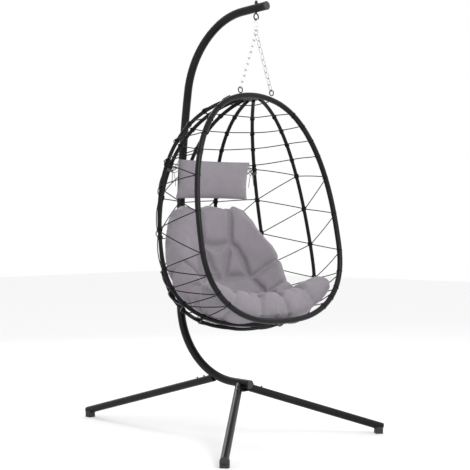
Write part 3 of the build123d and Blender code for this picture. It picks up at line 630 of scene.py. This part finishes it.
def nest_pair(x, y):
    """The cover's lower and upper point over one point of the flat drawing."""
    flat = Vector((x, y))
    edge = min(near_line(flat, OUTLINE) / EDGE_ROUND, 1)
    seam = min(near_line(flat, line) for line in NEST_SEAMS)
    full = nest_thickness(x, y)
    rim = full * (0.18 + 0.32 * min(y / 0.2, 1))
    pinch = 0.34 * min(edge * 1.4, 1) * (0.55 + 0.45 * min(y / 0.2, 1))
    swell = math.sqrt(max(1 - (1 - edge) ** 2, 0)) * (1 - pinch * math.exp(-((seam / 0.03) ** 2)))
    outer = laid_in(x, y)
    inward = (NEST_CORE - outer).normalized()
    return outer + inward * rim * (1 - swell), outer + inward * (rim + (full - rim) * swell)


def nest_shape():
    """Two sheets over the outline, in rings from its middle, that meet at the rim."""
    middle = Vector((0, 0.5))
    rim = []
    for one, two in zip(OUTLINE, OUTLINE[1:]):
        one, two = Vector(one), Vector(two)
        steps = max(int((two - one).length / 0.016), 1)
        rim += [one.lerp(two, k / steps) for k in range(steps)]
    rings = 34
    work = bmesh.new()
    sheets = ([], [])
    for ring in range(1, rings + 1):
        share = 1 - (1 - ring / rings) ** 1.3
        row = ([], [])
        for point in rim:
            flat = middle.lerp(point, share)
            pair = nest_pair(flat.x, flat.y)
            row[0].append(work.verts.new(pair[0]))
            row[1].append(row[0][-1] if ring == rings else work.verts.new(pair[1]))
        for sheet, made in zip(sheets, row):
            sheet.append(made)
    for number, sheet in enumerate(sheets):
        hub = work.verts.new(nest_pair(*middle)[number])
        for k in range(len(rim)):
            j = (k + 1) % len(rim)
            work.faces.new((hub, sheet[0][k], sheet[0][j]))
            for inner, outer in zip(sheet, sheet[1:]):
                work.faces.new((inner[k], outer[k], outer[j], inner[j]))
    bmesh.ops.recalc_face_normals(work, faces=work.faces)
    mesh = bpy.data.meshes.new("nest")
    work.to_mesh(mesh)
    work.free()
    return mesh


def basket_inside():
    """The surface that the nest's cover may not pass, a little outside its gap."""
    angles = range(-90, 91, 5)
    rows = [[inside_point(angle, s) for angle in angles] for s in FAN_LEVELS[2::3]]
    points = [NEST_CORE + (p - NEST_CORE) * 1.008 for row in rows for p in row]
    width = len(angles)
    faces = [(r * width + c, r * width + c + 1, (r + 1) * width + c + 1, (r + 1) * width + c)
             for r in range(len(rows) - 1) for c in range(width - 1)]
    return BVHTree.FromPolygons(points, faces)


nest_mesh = remeshed("nest", nest_shape(), NEST_VOXEL)
relax(nest_mesh, 2)
seam_lines = []
for line in NEST_SEAMS:
    for side in (0, 1):
        seam_lines.append([nest_pair(*Vector(one).lerp(Vector(two), k / 4))[side]
                           for one, two in zip(line, line[1:]) for k in range(5)])
nest_seams = seam_samples(surface_of(nest_mesh), seam_lines, SEAM_SPACING)
sew(nest_mesh, nest_seams, depth=0.010, width=0.014, shrink=0.006)
nest = add_piece("nest_cushion", nest_mesh, FABRIC, "basket")
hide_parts("seat_cushion")


# ---------------------------------------------------------------- head pillow
PILLOW_SPIN = TURNED.to_4x4() @ Matrix.Rotation(PILLOW_LEAN, 4, "X")
PILLOW_PLACE = Matrix.Translation(behind_hoop(0, PILLOW_DEPTH, PILLOW_Z)) @ PILLOW_SPIN
PILLOW_VOXEL = 0.005
PILLOW_WAIST = (0.05, 0.045)        # how far its ends, and its long sides, draw in
PIPING_R = 0.0016


def pillow_plan(x, z):
    """Across and up in the pillow's plane: x and z run from -1 to 1."""
    across = x * PILLOW_SIZE.x / 2 * (1 - PILLOW_WAIST[0] * (1 - z * z))
    height = z * PILLOW_SIZE.z / 2 * (1 - PILLOW_WAIST[1] * (1 - x * x))
    return across, height


def pillow_shape():
    """Two crowned faces that meet in a sewn edge, drawn in along the sides between pointed corners."""
    work = bmesh.new()
    bmesh.ops.create_cube(work, size=2)
    bmesh.ops.subdivide_edges(work, edges=work.edges, cuts=23, use_grid_fill=True)
    for vertex in work.verts:
        x, y, z = vertex.co
        crown = (1 - abs(x) ** 5) ** 0.6 * (1 - abs(z) ** 3.5) ** 0.55
        across, height = pillow_plan(x, z)
        vertex.co = Vector((across, y * (PILLOW_SIZE.y / 2 * 0.8 * crown + 0.003), height))
    mesh = bpy.data.meshes.new("pillow")
    work.to_mesh(mesh)
    work.free()
    mesh.transform(PILLOW_PLACE)
    return mesh


def pillow_edge():
    """The sewn edge round the pillow, as a closed route."""
    steps = 24
    corners = ((-1, -1), (1, -1), (1, 1), (-1, 1), (-1, -1))
    edge = []
    for a, b in zip(corners, corners[1:]):
        for k in range(steps):
            t = k / steps
            across, height = pillow_plan(a[0] + (b[0] - a[0]) * t, a[1] + (b[1] - a[1]) * t)
            edge.append(PILLOW_PLACE @ Vector((across, 0, height)))
    return [*edge, edge[0]]


pillow_mesh = remeshed("pillow", pillow_shape(), PILLOW_VOXEL)
relax(pillow_mesh, 3)
pillow_rim = seam_samples(surface_of(pillow_mesh), [pillow_edge()], SEAM_SPACING)
pillow = add_piece("head_pillow_cover", pillow_mesh, FABRIC, "basket")
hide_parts("head_pillow")

inflate((
    (nest, nest_seams, 0.007, 4.0, 0.028),
    (pillow, pillow_rim, 0.006, 3.0, 0.014),
))
relax(nest.data, 1, 0.3)

# The nest stays inside the basket's strands.
limit = basket_inside()
for vertex in nest.data.vertices:
    way = vertex.co - NEST_CORE
    wall = limit.ray_cast(NEST_CORE, way.normalized())[0]
    if wall and way.length > (wall - NEST_CORE).length:
        vertex.co = wall
subdivide(nest)
subdivide(pillow)
for cover in (nest, pillow):
    cover.data.polygons.foreach_set("use_smooth", [True] * len(cover.data.polygons))

piping = tube_mesh("pillow_seam", [(pillow_edge(), PIPING_R)], 6)
add_piece("pillow_seam", piping, FABRIC, "basket")


# ---------------------------------------------------------------- pillow ties
TIE_CORD_R = 0.0015
KNOT_R = 0.004


def tie(side):
    """Four thin cords from the pillow's end to turns round a rib, with a knot and two loose tails."""
    angle = RIB_ANGLES[1] if side > 0 else RIB_ANGLES[-2]
    rib_at = egg_point(angle, TIE_AT)
    along = (egg_point(angle, TIE_AT + 0.002) - rib_at).normalized()
    corner_x = side * PILLOW_SIZE.x / 2
    near = PILLOW_PLACE @ Vector((corner_x, 0, 0.06))
    toward = near - rib_at
    toward = (toward - along * toward.dot(along)).normalized()
    across = along.cross(toward)
    routes = []
    ring_r = RIB_R + TIE_CORD_R
    for shift in (-0.005, -0.0015, 0.002, 0.0055):
        ring = []
        for k in range(25):
            turn = 2 * math.pi * k / 24
            reach = toward * math.cos(turn) + across * math.sin(turn)
            ring.append(rib_at + along * (shift + 0.0015 * math.sin(turn)) + reach * ring_r)
        routes.append((ring, TIE_CORD_R))
    knot = rib_at + toward * (RIB_R + 0.007)
    for height, sag in ((0.086, 0.002), (0.07, 0.006), (0.055, 0.004), (0.04, 0.009)):
        end = PILLOW_PLACE @ Vector((corner_x * 0.985, 0, height))
        middle = (knot + end) / 2 - Vector((0, 0, sag))
        routes.append((smooth_route([knot, middle, end]), TIE_CORD_R))
    ball = []
    for t in [k * 0.35 for k in range(40)]:
        reach = toward * math.cos(t * 1.9) + along * math.sin(t * 2.3) + across * math.cos(t * 1.3)
        ball.append(knot + reach * KNOT_R)
    routes.append((ball, TIE_CORD_R))
    for lean, drop in ((0.02, 0.05), (-0.012, 0.062)):
        tail = [knot, knot + toward * 0.012 + across * lean * 0.5 - Vector((0, 0, 0.01)),
                knot + toward * 0.016 + across * lean - Vector((0, 0, drop))]
        routes.append((smooth_route(tail), TIE_CORD_R))
    return routes


for side_name, side in (("left", -1), ("right", 1)):
    name = f"pillow_tie_cords_{side_name}"
    cords = add_piece(name, tube_mesh(name, tie(side), 6), CORD, "basket")
    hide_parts(f"pillow_tie_{side_name}")


# ---------------------------------------------------------------- floor, light and camera
def stage_floor():
    work = bmesh.new()
    bmesh.ops.create_grid(work, x_segments=1, y_segments=1, size=14)
    mesh = bpy.data.meshes.new("floor")
    work.to_mesh(mesh)
    work.free()
    floor = bpy.data.objects.new("floor", mesh)
    bpy.context.scene.collection.objects.link(floor)
    material, _, _ = new_material("floor_pale", (0.92, 0.92, 0.92), 0.9)
    mesh.materials.append(material)


def area_light(name, place, target, size, power):
    data = bpy.data.lights.new(name, "AREA")
    data.size = size
    data.energy = power
    light = bpy.data.objects.new(name, data)
    light.location = place
    light.rotation_euler = (Vector(target) - Vector(place)).to_track_quat("-Z", "Y").to_euler()
    bpy.context.scene.collection.objects.link(light)


stage_floor()
world = bpy.data.worlds.new("studio")
world.use_nodes = True
world.node_tree.nodes["Background"].inputs["Color"].default_value = (1, 1, 1, 1)
world.node_tree.nodes["Background"].inputs["Strength"].default_value = 1.0
bpy.context.scene.world = world
bpy.context.scene.view_settings.view_transform = "Standard"
area_light("key", (-1.2, -3.6, 3.2), (0, -0.4, 1.0), 1.8, 70)
area_light("fill", (3.4, -1.8, 2.2), (0, -0.3, 1.0), 2.4, 12)
area_light("rim", (1.5, 3.2, 3.0), (0, -0.3, 1.1), 1.6, 40)

CAMERA_PLACE = (-4.3153, -4.0233, 0.9902)
CAMERA_AZIMUTH = math.radians(-49.05)
CAMERA_RISE = math.radians(0.566)
camera_data = bpy.data.cameras.new("camera")
camera_data.lens = 95.43
camera_data.sensor_width = 36
camera_data.clip_end = 100
camera = bpy.data.objects.new("camera", camera_data)
right = Vector((math.cos(CAMERA_AZIMUTH), math.sin(CAMERA_AZIMUTH), 0))
back = Vector((
    math.sin(CAMERA_AZIMUTH) * math.cos(CAMERA_RISE),
    -math.cos(CAMERA_AZIMUTH) * math.cos(CAMERA_RISE),
    math.sin(CAMERA_RISE),
))
up = back.cross(right)
turned = Matrix((right, up, back)).transposed().to_4x4()
camera.matrix_world = Matrix.Translation(CAMERA_PLACE) @ turned
bpy.context.scene.collection.objects.link(camera)
bpy.context.scene.camera = camera
